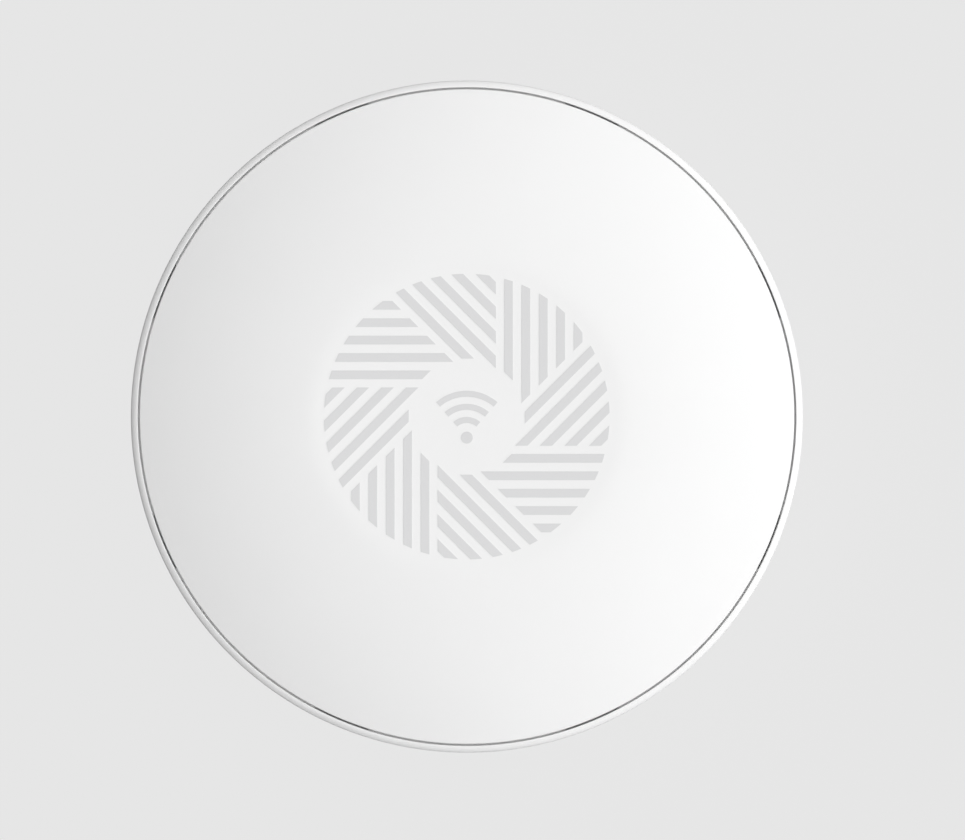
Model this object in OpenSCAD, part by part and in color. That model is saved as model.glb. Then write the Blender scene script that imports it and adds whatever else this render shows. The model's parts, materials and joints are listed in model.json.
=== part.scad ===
// Round ceiling access point, drawn face up: the ceiling is the plane z = 0 and +Z leaves it
// towards the domed face. The unit hooks onto a bracket with a twist and a sprung latch.

/* [Body] */
// Outside diameter of the rim
body_d = 180; // [178:1:190]
// Height from the ceiling to the flat of the face
body_h = 36; // [36:0.5:40]
// Wall thickness of the cover and the housing
wall = 2.2; // [2:0.1:2.4]
// Radius of the rounded side of the housing
side_round = 32; // [31:1:34]
// Space between the housing and the ceiling
ceiling_gap = 0.8; // [0.6:0.1:1]

/* [Face] */
// Radius of the flat disc in the middle
flat_r = 40; // [40:1:46]
// Width of the soft bend round the flat disc
bend_w = 4; // [2:0.5:6]
// Slope of the dome outside that bend, in degrees
dome_start = 4; // [2:0.5:5]
// Slope of the dome at its edge, in degrees
dome_end = 15; // [14:0.5:16]
// Width of the shadow gap round the cover
gap_w = 0.5; // [0.4:0.05:0.8]
// Depth of the shadow gap
gap_depth = 2; // [1.4:0.1:2.2]
// Width of the rim outside the shadow gap
rim_w = 1.85; // [1.7:0.05:2.2]
// Radius of the rim's rounded shoulder
rim_round = 1.15; // [0.8:0.05:1.4]
// Slope of the rim's top, which carries on the line of the dome, in degrees
rim_slope = 12; // [8:1:14]
// Number of vent slots in the shadow gap
vents = 8; // [4:4:8]
// Arc of a vent slot, in degrees
vent_arc = 10; // [6:1:14]
// Number of snap clips under the cover, each between two vents
clips = 8; // [4:4:8]

/* [Printed pattern] */
// Number of striped blades
blades = 8; // [8:1:8]
// Number of stripes in a blade
stripes = 5; // [3:1:5]
// Outside radius of the pattern
pattern_r = 38.1; // [34:0.1:39.5]
// Width of a stripe, and of the space beside it
stripe_w = 2.32; // [2.1:0.02:2.36]
// Thickness of the ink
ink = 0.06; // [0.04:0.01:0.1]
// Radius of the outermost arc of the wireless icon
icon_r = 12.5; // [10:0.1:13]

/* [Bracket] */
// Radius of the bracket's plate
bracket_r = 57; // [56.5:0.1:57.2]
// Thickness of the bracket's plate
bracket_t = 1.6; // [1.4:0.1:1.7]
// Diameter of the circle of round ceiling screw holes
screw_circle = 74; // [72:1:75]
// Radius of the round ceiling screw holes
screw_r = 2.25; // [2:0.05:2.5]
// Spacing of the slots for a small round box
small_box = 60.3; // [60:0.1:61]
// Spacing of the slots for a large round box
large_box = 83.3; // [83:0.1:85]
// Length of the box slots, end to end
slot_l = 8; // [7:0.5:8]
// Radius of the round part of the cable opening
cable_hole_r = 18; // [16:0.5:20]

/* [Bayonet] */
// Turn that frees the unit, in degrees
unlock_turn = 15; // [15:1:18]
// Arc of a hook and of a lug, in degrees
hook_arc = 13; // [11:0.5:13]
// Radius of the recess that takes the bracket
recess_r = 62; // [61.8:0.1:62.4]
// Height of the recess floor above the ceiling
recess_z = 7.6; // [7.6:0.1:8]

/* [Latch] */
// Angle of the latch nose round the bracket, in degrees
latch_angle = 30; // [28:1:34]
// How far the nose moves in over the whole turn
latch_lift = 1.8; // [1.6:0.1:1.8]
// Clearance between the nose and its ramp
latch_gap = 0.3; // [0.25:0.05:0.4]

/* [Cable bay] */
// Width of the bay that takes the network plug
bay_w = 26; // [22:1:28]
// Distance from the axis to the outer end of the bay
bay_end = 60; // [56:1:60]
// Width of the cable channel through the side
channel_w = 9; // [8:0.5:11]

/* [Board] */
// Radius of the main board
board_r = 62; // [60:0.5:63]
// Height of the board's rear face above the ceiling
board_z = 23; // [23:0.1:23.5]
// Thickness of the board
board_t = 1.6; // [1.2:0.1:1.7]

/* [Hidden] */
$fn = 64;

// Overlap that makes two solids of one piece join, and a cut run past a face
bite = 0.1;
// Side of a cutter that reaches past the whole body
far = 200;

// Dome: a small arc bends down from the flat disc, and a large one runs on to the cover's edge
rim_r = body_d / 2;
rim_in = rim_r - rim_w;
cover_r = rim_in - gap_w;
bend_r = bend_w / sin(dome_start);
bend_end = [flat_r + bend_w, body_h - bend_r * (1 - cos(dome_start))];
dome_r = (cover_r - bend_end[0]) / (sin(dome_end) - sin(dome_start));
dome_mid = bend_end - dome_r * [sin(dome_start), cos(dome_start)];
rim_z = dome_mid[1] + dome_r * cos(dome_end);
bend_steps = 4;
dome_steps = 24;
cover_chamfer = 0.3;

// Housing: the rounded side springs from the rim's shoulder
rim_slope_r = rim_r - rim_round * (1 - sin(rim_slope));
rim_slope_z = rim_z - (rim_slope_r - rim_in) * tan(rim_slope);
side_z = rim_slope_z - rim_round * cos(rim_slope);
side_x = rim_r - side_round;
floor_t = 2;
ledge_z = rim_z - gap_depth;
ledge_t = 1.6;
ledge_r = rim_in - 3.75;
vent_in = rim_in - 1.95;
vent_out = rim_in - 0.1;
first_vent = 180 / vents;
back_chamfer = 2;

// Snap clips under the cover, which catch below the housing's ledge
clip_r = ledge_r - 0.2;
clip_t = 1.6;
clip_arc = 5;
clip_drop = 3.9;
barb_gap = 0.2;
barb_h = 1.9;
barb_w = 1.2;

// Pattern: where a blade's first stripe starts, where the next blade cuts it off, and where the
// first stripe is cut short
blade_turn = 360 / blades;
first_stripe = 4.3 * stripe_w;
blade_cut = 3.35 * stripe_w;
first_cut = 6.675 * stripe_w;
icon_z = -5.6;
icon_band = 1.6;
icon_step = 3.5;
icon_half = 41;
icon_dot = 1.6;

// Bracket and bayonet
hooks = 3;
hook_first = 90;
hook_in = 54;
hook_post = 56;
hook_out = recess_r - 1.4;
hook_z = 4.9;
hook_t = 1.5;
stop_arc = 1.5;
stop_gap = 0.4;
lug_in = recess_r - 4.4;
lug_z = 2.2;
lug_t = 2.4;
slot_r = 2.25;
cable_slot_w = 28;
cable_slot_end = 46;

// Latch: the lever turns on a pin beside its nose, and the nose rides a ramp in the recess wall.
// Places on the lever are given as [outwards, sideways] from the axis, at the latch's angle.
pin_at = [48, 20];
elbow_at = [52, 0];
nose_r = 1.2;
nose_at = [recess_r + 0.3, 0];
pin_r = 1.25;
pin_fit = 0.05;
pin_head_r = 2.8;
pin_head_z = 6.3;
pin_head_t = 0.7;
lever_z = 1.9;
lever_t = 2.4;
lever_w = 5;
boss_r = 4;
tail_at = [41, 16];
nose_side = nose_at[1] - pin_at[1];
nose_slip = latch_lift * (nose_at[0] - pin_at[0]) / abs(nose_side) / nose_at[0] * 180 / PI;
ramp_arc = unlock_turn + nose_slip;
ramp_mid_r = nose_at[0] + nose_r + latch_gap - latch_lift / 2;
ramp_mid_angle = latch_angle - ramp_arc / 2;
ramp_offset = latch_lift / (ramp_arc * PI / 180);
ramp_r = norm([ramp_mid_r, ramp_offset]);
ramp_pad_r = 66.4;

// Torsion spring on the latch pin, with one leg on the bracket's post and one on the lever's
wire_r = 0.22;
coil_r = 1.95;
coil_turns = 2.25;
coil_pitch = 0.6;
coil_z = lever_z + lever_t + 0.35;
leg = 8;
post_r = 0.7;
fixed_post = [-7, coil_r + wire_r + post_r + 0.05];
lever_post = [coil_r + wire_r + post_r + 0.8, -7];

// Cable bay, channel and network jack
bay_near = 8;
bay_wall = 2;
bay_top = 20.6;
channel_top = 8.6;
jack = [16, 21, 13];
jack_fit = 0.2;
jack_y = 0.1 - bay_near;
jack_z = board_z - jack[2];
socket = [11.9, 14, 6.9];
socket_z = jack_z + 3;
tab_slot = [6.4, 1.4];
contact_pitch = 1.02;
contact_w = 0.35;

// Board, what stands on it, and the screws that hold it
board_top = board_z + board_t;
board_screw_at = 39.6;
boss_out = 3.6;
board_boss_z = recess_z + floor_t;
processor = [19, 19, 1.6];
processor_y = 33;
radio = [12, 12, 1.2];
radio_x = 20;
memory = [13.5, 8, 1.1];
memory_at = [9, 47.6];
sink_top = 20.4;
sink_t = 2.4;
sink_x = 33;
sink_y = [17, 50];
fins = 12;
fin_t = 1.4;
fin_low = 11.2;
sink_screw = [28.5, 21, 46];
can_wall = 0.3;
can_h = 3;
side_can = [26, 34];
side_can_at = [30, -4];
top_can = [34, 24];
top_can_y = 36;
pipe_r = 3;
led = [3.2, 2.8, 0.9];

// Power over Ethernet parts, which hang under the board
isolator_at = [-22, 4];
isolator = [16, 11, 5.7];
isolator_pins = 7;
isolator_pitch = 2;
transformer_at = [30, -13];
transformer = [17, 14, 11];
ferrite_t = 3;
core_w = 7;
winding = [13, 13, 4.6];
inductor_at = [-27, -14];
inductor = [12, 12, 5];
inductor_cut = 2.8;
capacitors_at = [[24, -31], [34, -31], [29, -42]];
capacitor_r = 4;
capacitor_h = 11.4;
score_w = 0.4;

// Antennas stand on posts round the board
antenna_r = 71;
antenna_z = 20;
sheet = 0.5;
antenna_base = [8, 26];
antenna_arm = [8, 22];
antenna_h = 7;
antenna_post = 9;
cable_r = 0.6;
plug_at = [49.8, 18.8];
plug_r = 1.6;
// Route of the first antenna's cable, from its plug on the board to the antenna's base
cable_route = [[51, 20, 26.2], [54, 23, 26.2], [57, 28, 26], [58, 34, 25.6], [55, 40, 23.5],
    [51, 45, 21.7], [49.2, 48, 21.2]];

// Reset button: a plunger through the recess floor works a switch on the board
reset_at = [24, 6];
plunger_r = 1.4;
plunger_fit = 0.05;
plunger_flange = 2.6;
switch_size = [6, 6, 3.4];
stem_r = 1.7;
stem_out = 1;
switch_travel = 0.5;

// Ring sector between two radii and two heights
module sector(r_in, r_out, z_low, z_high, start, arc)
    rotate([0, 0, start])
        rotate_extrude(angle = arc)
            translate([r_in, z_low])
                square([r_out - r_in, z_high - z_low]);

// Block centred in x and y on a place, standing on a height
module block(at, z_low, size)
    translate([at[0] - size[0] / 2, at[1] - size[1] / 2, z_low])
        cube(size);

// Its children once in each quarter
module each_quarter()
    for (sx = [1, -1], sy = [1, -1])
        mirror([sx < 0 ? 1 : 0, 0, 0])
            mirror([0, sy < 0 ? 1 : 0, 0])
                children();

// Its children in quarter 1 to 4, counted round from +X +Y
module in_quarter(q)
    mirror([q == 2 || q == 3 ? 1 : 0, 0, 0])
        mirror([0, q == 3 || q == 4 ? 1 : 0, 0])
            children();

// Screw with a cross-slotted flat head on z_seat and its shank below
module screw(at, z_seat, head_r, head_h, shank_r, shank_l)
    translate([at[0], at[1], z_seat])
        difference() {
            union() {
                cylinder(r = head_r, h = head_h);
                translate([0, 0, -shank_l])
                    cylinder(r = shank_r, h = shank_l);
            }
            for (turn = [0, 90])
                rotate([0, 0, turn])
                    block([0, 0], head_h * 0.5, [head_r * 1.2, head_r * 0.3, head_h]);
        }

function unit(v) = v / norm(v);
function heading(p, i) = unit(p[min(i + 1, len(p) - 1)] - p[max(i - 1, 0)]);
function spline_point(a, b, c, d, t) =
    0.5 * (2 * b + (c - a) * t + (2 * a - 5 * b + 4 * c - d) * t ^ 2
    + (3 * b - a - 3 * c + d) * t ^ 3);
// Smooth line through the points of a route
function spline(p, steps) = [
    for (i = [0:len(p) - 2], k = [0:steps - 1])
        spline_point(p[max(i - 1, 0)], p[i], p[i + 1], p[min(i + 2, len(p) - 1)], k / steps),
    p[len(p) - 1]];

// Round tube along a line of points that nowhere runs straight up
module swept_tube(p, r, sides) {
    rings = [
        for (i = [0:len(p) - 1])
            let (ahead = heading(p, i), side = unit(cross(ahead, [0, 0, 1])), up = cross(side, ahead))
                for (k = [0:sides - 1])
                    p[i] + r * (cos(360 * k / sides) * side + sin(360 * k / sides) * up)];
    last = (len(p) - 1) * sides;
    walls = [
        for (i = [0:len(p) - 2], k = [0:sides - 1])
            let (a = i * sides + k, b = i * sides + (k + 1) % sides)
                [a, b, b + sides, a + sides]];
    first_cap = [for (k = [sides - 1:-1:0]) k];
    last_cap = [for (k = [0:sides - 1]) last + k];
    polyhedron(points = rings, faces = concat(walls, [first_cap, last_cap]));
}

// Point of an arc about a centre, at a slope, drawn in from the arc by a depth
function arc_point(mid, r, slope, depth) = mid + (r - depth) * [sin(slope), cos(slope)];

// Section of the dome, drawn in from its outside by a depth and cut off at a radius
module dome_section(depth, edge_r) {
    bend = [
        for (i = [0:bend_steps])
            arc_point([flat_r, body_h - bend_r], bend_r, dome_start * i / bend_steps, depth)];
    dome = [
        for (i = [1:dome_steps])
            arc_point(dome_mid, dome_r, dome_start + (dome_end - dome_start) * i / dome_steps, depth)];
    intersection() {
        polygon(concat([[0, 0], [0, body_h - depth]], bend, dome, [[cover_r, 0]]));
        square([edge_r, body_h]);
    }
}

module front_cover()
    color("whitesmoke") {
        rotate_extrude($fn = 180)
            difference() {
                dome_section(0, cover_r);
                dome_section(wall, cover_r - wall);
                square([far, ledge_z]);
                translate([cover_r, rim_z])
                    rotate(45)
                        square(cover_chamfer * sqrt(2), center = true);
            }
        for (i = [0:clips - 1])
            rotate([0, 0, 360 * i / clips - clip_arc / 2])
                rotate_extrude(angle = clip_arc)
                    clip_section();
    }

module clip_section() {
    barb_top = ledge_z - ledge_t - barb_gap;
    foot = ledge_z - clip_drop;
    translate([clip_r - clip_t, foot])
        square([clip_t, rim_z - foot - bite]);
    polygon([[clip_r - bite, barb_top], [clip_r + barb_w, barb_top], [clip_r - bite, barb_top - barb_h]]);
}

// Part of one blade above the line where the next blade starts
module blade_region() {
    cut_line = function (x) (x * cos(blade_turn) - blade_cut) / sin(blade_turn);
    polygon([[0, cut_line(0)], [pattern_r, cut_line(pattern_r)], [pattern_r, pattern_r],
        [0, pattern_r]]);
}

module blade_stripe(i)
    translate([first_stripe + 2 * i * stripe_w, -pattern_r])
        square([stripe_w, 2 * pattern_r]);

// Part of the first stripe that is left blank
module first_stripe_blank() {
    blank_line = function (x) (first_cut - x * sin(blade_turn)) / cos(blade_turn);
    end = first_stripe + stripe_w + bite;
    polygon([[0, -pattern_r], [end, -pattern_r], [end, blank_line(end)], [0, blank_line(0)]]);
}

module printed_pattern()
    color("gainsboro")
        translate([0, 0, body_h])
            for (b = [0:blades - 1])
                rotate([0, 0, -blade_turn * b])
                    for (i = [0:stripes - 1])
                        linear_extrude(ink)
                            intersection() {
                                circle(r = pattern_r, $fn = 180);
                                blade_region();
                                difference() {
                                    blade_stripe(i);
                                    if (i == 0)
                                        first_stripe_blank();
                                }
                            }

module printed_icon()
    color("gainsboro")
        translate([0, icon_z, body_h])
            linear_extrude(ink) {
                circle(r = icon_dot);
                for (i = [0:2])
                    intersection() {
                        difference() {
                            circle(r = icon_r - i * icon_step);
                            circle(r = icon_r - i * icon_step - icon_band);
                        }
                        polygon([[0, 0], [-far * sin(icon_half), far * cos(icon_half)],
                            [far * sin(icon_half), far * cos(icon_half)]]);
                    }
            }

// Outline of the whole housing: rounded rim, side and chamfered back edge
module housing_outline() {
    back_edge = side_x + sqrt(side_round ^ 2 - (side_z - ceiling_gap) ^ 2);
    difference() {
        union() {
            polygon([
                [0, ceiling_gap],
                [0, rim_z],
                [rim_in, rim_z],
                [rim_slope_r, rim_slope_z],
                [rim_r - rim_round, side_z],
                [rim_r - rim_round, ceiling_gap]]);
            translate([0, ceiling_gap])
                square([rim_r, side_z - ceiling_gap]);
            translate([rim_r - rim_round, side_z])
                circle(r = rim_round);
        }
        difference() {
            translate([side_x, 0])
                square([far, side_z]);
            translate([side_x, side_z])
                circle(r = side_round, $fn = 180);
        }
        translate([back_edge, ceiling_gap])
            rotate(30)
                square([2 * back_chamfer, back_chamfer], center = true);
    }
}

// Section of the housing: hollow, with a ledge for the cover and a tower round the bracket's recess
module housing_section()
    difference() {
        housing_outline();
        difference() {
            translate([0, ceiling_gap + floor_t])
                square([far, ledge_z - ledge_t - ceiling_gap - floor_t]);
            square([recess_r + wall, recess_z + floor_t]);
            difference() {
                translate([side_x, 0])
                    square([far, side_z]);
                translate([side_x, side_z])
                    circle(r = side_round - wall, $fn = 180);
            }
        }
        square([recess_r, recess_z]);
        translate([0, ledge_z - ledge_t - bite])
            square([ledge_r, far]);
        translate([0, ledge_z])
            square([rim_in, far]);
    }

module lugs()
    for (i = [0:hooks - 1])
        sector(lug_in, recess_r + bite, lug_z, lug_z + lug_t,
            hook_first + 360 / hooks * i - hook_arc / 2, hook_arc);

// Cut in the recess wall: deepest where the latch nose rests, and rising evenly as the unit turns
module latch_ramp()
    intersection() {
        translate([
            ramp_offset * cos(ramp_mid_angle + 90),
            ramp_offset * sin(ramp_mid_angle + 90),
            0])
            cylinder(r = ramp_r, h = lever_z + lever_t + 0.6);
        sector(recess_r - 2, ramp_pad_r - 1, 0, recess_z, latch_angle - ramp_arc - 4, ramp_arc + 5.8);
    }

// Places of the two screws of the first antenna
function antenna_screw(side) = [
    antenna_r * cos(45) - side * antenna_post * sin(45),
    antenna_r * sin(45) + side * antenna_post * cos(45)];

module rear_housing()
    color("gainsboro")
        difference() {
            union() {
                rotate_extrude($fn = 180)
                    housing_section();
                lugs();
                sector(recess_r + bite, ramp_pad_r, ceiling_gap, recess_z + 1,
                    latch_angle - ramp_arc - 6, ramp_arc + 12);
                block([0, -(bay_end + bay_near) / 2], recess_z,
                    [bay_w + 2 * bay_wall, bay_end - bay_near + 2 * bay_wall,
                        bay_top + bay_wall - recess_z]);
                intersection() {
                    translate([-channel_w / 2 - bay_wall, -rim_r, ceiling_gap])
                        cube([channel_w + 2 * bay_wall, rim_r - recess_r - 1, channel_top + 1]);
                    rotate_extrude($fn = 180)
                        housing_outline();
                }
                each_quarter() {
                    translate([board_screw_at, board_screw_at, board_boss_z - bite])
                        cylinder(r = boss_out, h = board_z - board_boss_z + bite);
                    for (side = [-1, 1])
                        translate([antenna_screw(side)[0], antenna_screw(side)[1],
                            ceiling_gap + floor_t - bite])
                            cylinder(r = 2.6, h = antenna_z - ceiling_gap - floor_t + bite);
                }
                translate([reset_at[0], reset_at[1], recess_z])
                    cylinder(r = plunger_flange + 1.6, h = floor_t + 3.4);
            }
            latch_ramp();
            for (i = [0:vents - 1])
                sector(vent_in, vent_out, ledge_z - ledge_t - 1, ledge_z + 1,
                    first_vent + 360 / vents * i - vent_arc / 2, vent_arc);
            translate([-bay_w / 2, -bay_end, 0])
                cube([bay_w, bay_end - bay_near, bay_top]);
            translate([-channel_w / 2, -rim_r - 1, 0])
                cube([channel_w, rim_r + 2 - recess_r, channel_top]);
            translate([-jack[0] / 2 - jack_fit, -bay_near - bite, jack_z - jack_fit])
                cube([jack[0] + 2 * jack_fit, bay_wall + 2 * bite, jack[2] + 2 * jack_fit]);
            each_quarter() {
                translate([board_screw_at, board_screw_at, board_z - 12])
                    cylinder(r = 1.3, h = 13);
                for (side = [-1, 1])
                    translate([antenna_screw(side)[0], antenna_screw(side)[1], antenna_z - 9])
                        cylinder(r = 1, h = 10);
            }
            translate([reset_at[0], reset_at[1], recess_z - 1])
                cylinder(r = plunger_r + plunger_fit, h = floor_t + 2);
            translate([reset_at[0], reset_at[1], recess_z + floor_t])
                cylinder(r = plunger_flange + 0.4, h = 10);
        }

module rating_label()
    color("white")
        block([0, 38], recess_z - 0.15, [44, 20, 0.15]);

module main_board()
    color("darkgreen")
        difference() {
            translate([0, 0, board_z])
                cylinder(r = board_r, h = board_t);
            each_quarter()
                translate([board_screw_at, board_screw_at, board_z - 1])
                    cylinder(r = 1.7, h = board_t + 2);
            for (x = [-sink_screw[0], sink_screw[0]], y = [sink_screw[1], sink_screw[2]])
                translate([x, y, board_z - 1])
                    cylinder(r = 1.5, h = board_t + 2);
        }

module processor_chip()
    color("dimgray")
        block([0, processor_y], board_z - processor[2], processor);

module radio_chips()
    color("dimgray")
        for (side = [-1, 1])
            block([side * radio_x, processor_y], board_z - radio[2], radio);

module memory_chips()
    color("dimgray")
        for (side = [-1, 1])
            block([side * memory_at[0], memory_at[1]], board_z - memory[2], memory);

module thermal_pads()
    color("lightblue") {
        block([0, processor_y], sink_top, [17, 17, board_z - processor[2] - sink_top]);
        for (side = [-1, 1])
            block([side * radio_x, processor_y], sink_top, [11, 11, board_z - radio[2] - sink_top]);
    }

module heat_sink()
    color("silver")
        difference() {
            union() {
                translate([-sink_x, sink_y[0], sink_top - sink_t])
                    cube([2 * sink_x, sink_y[1] - sink_y[0], sink_t]);
                for (i = [0:fins - 1])
                    translate([(2 * sink_x - fin_t) * i / (fins - 1) - sink_x, sink_y[0], fin_low])
                        cube([fin_t, sink_y[1] - sink_y[0], sink_top - sink_t - fin_low + bite]);
                for (x = [-sink_screw[0], sink_screw[0]], y = [sink_screw[1], sink_screw[2]])
                    translate([x, y, sink_top - bite])
                        cylinder(r = 3, h = board_z - sink_top + bite);
            }
            for (x = [-sink_screw[0], sink_screw[0]], y = [sink_screw[1], sink_screw[2]])
                translate([x, y, sink_top - sink_t - bite])
                    cylinder(r = 1.25, h = 10);
        }

module heat_sink_screws()
    color("silver")
        for (x = [-sink_screw[0], sink_screw[0]], y = [sink_screw[1], sink_screw[2]])
            screw([x, y], board_top, 2.4, 1.4, 1.2, 5.4);

// Pressed tin lid over a radio, with a row of cooling holes
module shield_can(at, size)
    difference() {
        block(at, board_top, [size[0], size[1], can_h]);
        block(at, board_top - bite,
            [size[0] - 2 * can_wall, size[1] - 2 * can_wall, can_h - can_wall + bite]);
        for (i = [-2:2], j = [-2:2])
            translate([at[0] + 4 * i, at[1] + 4 * j, board_top])
                cylinder(r = 0.8, h = can_h + 1);
    }

module shield_can_left()
    color("silver")
        shield_can([-side_can_at[0], side_can_at[1]], side_can);

module shield_can_right()
    color("silver")
        shield_can(side_can_at, side_can);

module shield_can_top()
    color("silver")
        shield_can([0, top_can_y], top_can);

module network_transformer()
    color("dimgray") {
        block(isolator_at, board_z - isolator[2] - 0.3, isolator);
        for (i = [0:isolator_pins - 1], side = [-1, 1])
            block([isolator_at[0] + isolator_pitch * (i - (isolator_pins - 1) / 2),
                isolator_at[1] + side * (isolator[1] / 2 + 0.6)], board_z - 1, [0.6, 1.4, 1]);
    }

// Two ferrite plates round a winding on their core
module power_transformer()
    color("dimgray") {
        for (z = [board_z - transformer[2], board_z - ferrite_t])
            block(transformer_at, z, [transformer[0], transformer[1], ferrite_t]);
        block(transformer_at, board_z - transformer[2] + bite, [core_w, core_w, transformer[2] - 2 * bite]);
        block(transformer_at, board_z - (transformer[2] + winding[2]) / 2, winding);
    }

// Square choke with its four upright edges cut away
module power_inductor()
    color("dimgray")
        difference() {
            block(inductor_at, board_z - inductor[2], inductor);
            for (sx = [-1, 1], sy = [-1, 1])
                translate([inductor_at[0] + sx * inductor[0] / 2, inductor_at[1] + sy * inductor[1] / 2,
                    board_z - inductor[2] - 1])
                    rotate(45)
                        block([0, 0], 0, [inductor_cut, inductor_cut, inductor[2] + 2]);
        }

// Electrolytic capacitors with a scored vent on the end
module power_capacitors()
    color("darkslateblue")
        for (at = capacitors_at)
            translate([at[0], at[1], board_z - capacitor_h])
                difference() {
                    cylinder(r = capacitor_r, h = capacitor_h);
                    for (turn = [0, 90])
                        rotate(turn)
                            block([0, 0], -1, [capacitor_r + 1, score_w, 1 + score_w / 2]);
                }

module rj45_jack()
    color("dimgray")
        difference() {
            translate([-jack[0] / 2, jack_y, jack_z])
                cube(jack);
            translate([-socket[0] / 2, jack_y - bite, socket_z])
                cube([socket[0], socket[1], socket[2]]);
            translate([-tab_slot[0] / 2, jack_y - bite, socket_z - tab_slot[1]])
                cube([tab_slot[0], socket[1], tab_slot[1] + bite]);
        }

// Eight sprung contacts that lean back and down from the socket's roof
module rj45_contacts() {
    roof = socket_z + socket[2];
    color("goldenrod")
        for (i = [0:7])
            translate([(i - 3.5) * contact_pitch - contact_w / 2, jack_y, 0])
                rotate([90, 0, 90])
                    linear_extrude(contact_w)
                        polygon([[3, roof], [3.8, roof], [10.6, roof - 2.1], [10.4, roof - 2.35]]);
}

module status_led()
    color("white")
        block([0, 0], board_top, led);

// Clear post that carries the light from the board up to the middle of the face
module light_pipe()
    color("aliceblue")
        difference() {
            translate([0, 0, board_top]) {
                cylinder(r = pipe_r + 1.6, h = 2.6);
                cylinder(r = pipe_r, h = body_h - wall - board_top - 0.2);
            }
            translate([0, 0, board_top - bite])
                cylinder(r = pipe_r, h = 1.8);
        }

module board_screws()
    color("silver")
        each_quarter()
            screw([board_screw_at, board_screw_at], board_top, 2.8, 1.8, 1.25, 9);

// Bent tin antenna: a base on two posts, an upright web and a slotted arm above the base
module antenna(q)
    color("lightgray")
        in_quarter(q)
            difference() {
                rotate([0, 0, 45])
                    translate([antenna_r, 0, 0])
                        difference() {
                            union() {
                                block([0, 0], antenna_z, [antenna_base[0], antenna_base[1], sheet]);
                                block([antenna_base[0] / 2 - sheet / 2, 0], antenna_z,
                                    [sheet, 14, antenna_h]);
                                block([0, 0], antenna_z + antenna_h - sheet,
                                    [antenna_arm[0], antenna_arm[1], sheet]);
                            }
                            block([-1, -3], antenna_z + antenna_h - 2, [2, 14, 4]);
                        }
                for (side = [-1, 1])
                    translate([antenna_screw(side)[0], antenna_screw(side)[1], antenna_z - 1])
                        cylinder(r = 1.2, h = 3);
            }

module antenna_cable(q)
    color("dimgray")
        in_quarter(q)
            swept_tube(spline(cable_route, 4), cable_r, 8);

module antenna_plugs()
    color("goldenrod")
        each_quarter() {
            block(plug_at, board_top, [3, 3, 1]);
            translate([plug_at[0], plug_at[1], board_top + 1 - bite])
                cylinder(r = plug_r, h = 1.4);
        }

module antenna_screws()
    color("silver")
        each_quarter()
            for (side = [-1, 1])
                screw(antenna_screw(side), antenna_z + sheet, 1.9, 1.1, 0.95, 8);

module reset_switch()
    color("dimgray")
        difference() {
            block(reset_at, board_z - switch_size[2], switch_size);
            translate([reset_at[0], reset_at[1], board_z - switch_size[2] - bite])
                cylinder(r = stem_r + plunger_fit, h = 1.8);
        }

module switch_stem() {
    low = board_z - switch_size[2] - stem_out;
    color("tan")
        translate([reset_at[0], reset_at[1], low])
            cylinder(r = stem_r, h = stem_out + 1.6 - switch_travel - 0.2);
}

module reset_plunger() {
    low = recess_z - 0.4;
    color("dimgray")
        translate([reset_at[0], reset_at[1], 0]) {
            translate([0, 0, low])
                cylinder(r = plunger_r, h = board_z - switch_size[2] - stem_out - low);
            translate([0, 0, recess_z + floor_t + 0.05])
                cylinder(r = plunger_flange, h = 1.2);
        }
}

// Straight slot with round ends, centred, through the bracket's plate
module plate_slot(x) {
    half = slot_l / 2 - slot_r;
    translate([x, 0, -1]) {
        for (side = [-1, 1])
            translate([side * half, 0, 0])
                cylinder(r = slot_r, h = bracket_t + 2);
        translate([-half, -slot_r, 0])
            cube([2 * half, 2 * slot_r, bracket_t + 2]);
    }
}

// One hook bent up from the plate, closed at one end by a stop for the lug
module hook() {
    start = -hook_arc / 2;
    sector(hook_in, hook_post, bracket_t - bite, hook_z + hook_t, start, hook_arc);
    sector(hook_in, hook_out, hook_z, hook_z + hook_t, start, hook_arc);
    sector(hook_in, hook_out, bracket_t + 0.2, hook_z + hook_t, start - stop_gap - stop_arc, stop_arc);
    sector(hook_in, hook_post, bracket_t - bite, hook_z + hook_t, start - stop_gap - stop_arc,
        stop_gap + stop_arc + bite);
}

module at_latch()
    rotate([0, 0, latch_angle])
        children();

module mounting_bracket()
    color("lightsteelblue")
        difference() {
            union() {
                cylinder(r = bracket_r, h = bracket_t);
                for (i = [0:hooks - 1])
                    rotate([0, 0, hook_first + 360 / hooks * i])
                        hook();
                at_latch()
                    translate([pin_at[0] + fixed_post[0], pin_at[1] + fixed_post[1], bracket_t - bite])
                        cylinder(r = post_r, h = coil_z + coil_pitch * coil_turns - bracket_t);
            }
            translate([0, 0, -1])
                cylinder(r = cable_hole_r, h = bracket_t + 2);
            translate([-cable_slot_w / 2, -cable_slot_end, -1])
                cube([cable_slot_w, cable_slot_end, bracket_t + 2]);
            for (i = [0:3])
                rotate([0, 0, 45 + 90 * i])
                    translate([screw_circle / 2, 0, -1])
                        cylinder(r = screw_r, h = bracket_t + 2);
            for (x = [-large_box, -small_box, small_box, large_box])
                plate_slot(x / 2);
            at_latch()
                translate([pin_at[0], pin_at[1], -1])
                    cylinder(r = pin_r, h = bracket_t + 2);
        }

// Straight bar of the lever between two places
module lever_bar(from, to, width)
    translate(from)
        rotate(atan2(to[1] - from[1], to[0] - from[0]))
            translate([0, -width / 2])
                square([norm(to - from), width]);

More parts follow.
